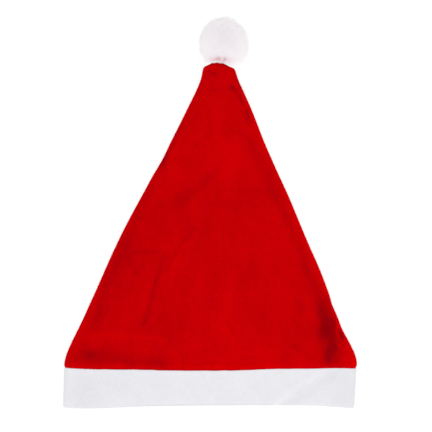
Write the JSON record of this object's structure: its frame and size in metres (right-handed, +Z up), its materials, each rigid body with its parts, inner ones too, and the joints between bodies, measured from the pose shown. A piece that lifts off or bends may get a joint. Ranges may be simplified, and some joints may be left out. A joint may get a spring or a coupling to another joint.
{
  "type": "santa hat",
  "caption": "Soft red velour costume hat lying flat on its back, a tall tapering crown with a folded white felt band round its mouth and a white plush pompom at its tip.",
  "frame": {"origin": "on the surface that the hat lies on, under the middle of its outline seen from above", "axes": "+X to the hat's right as seen from above, +Y from the mouth to the pompom, +Z up from the surface"},
  "size_m": [0.2935, 0.3907, 0.0494],
  "materials": {
    "front_velour": "short-pile red velour, matt with a soft sheen",
    "back_velour": "short-pile red velour, matt with a soft sheen",
    "felt": "white polyester felt, folded double",
    "plush": "white plush pile in soft tufts"
  },
  "bodies": {
    "root": {"crown_front": "front_velour", "crown_back": "back_velour", "band": "felt", "pompom": "plush"}
  },
  "joints": []
}
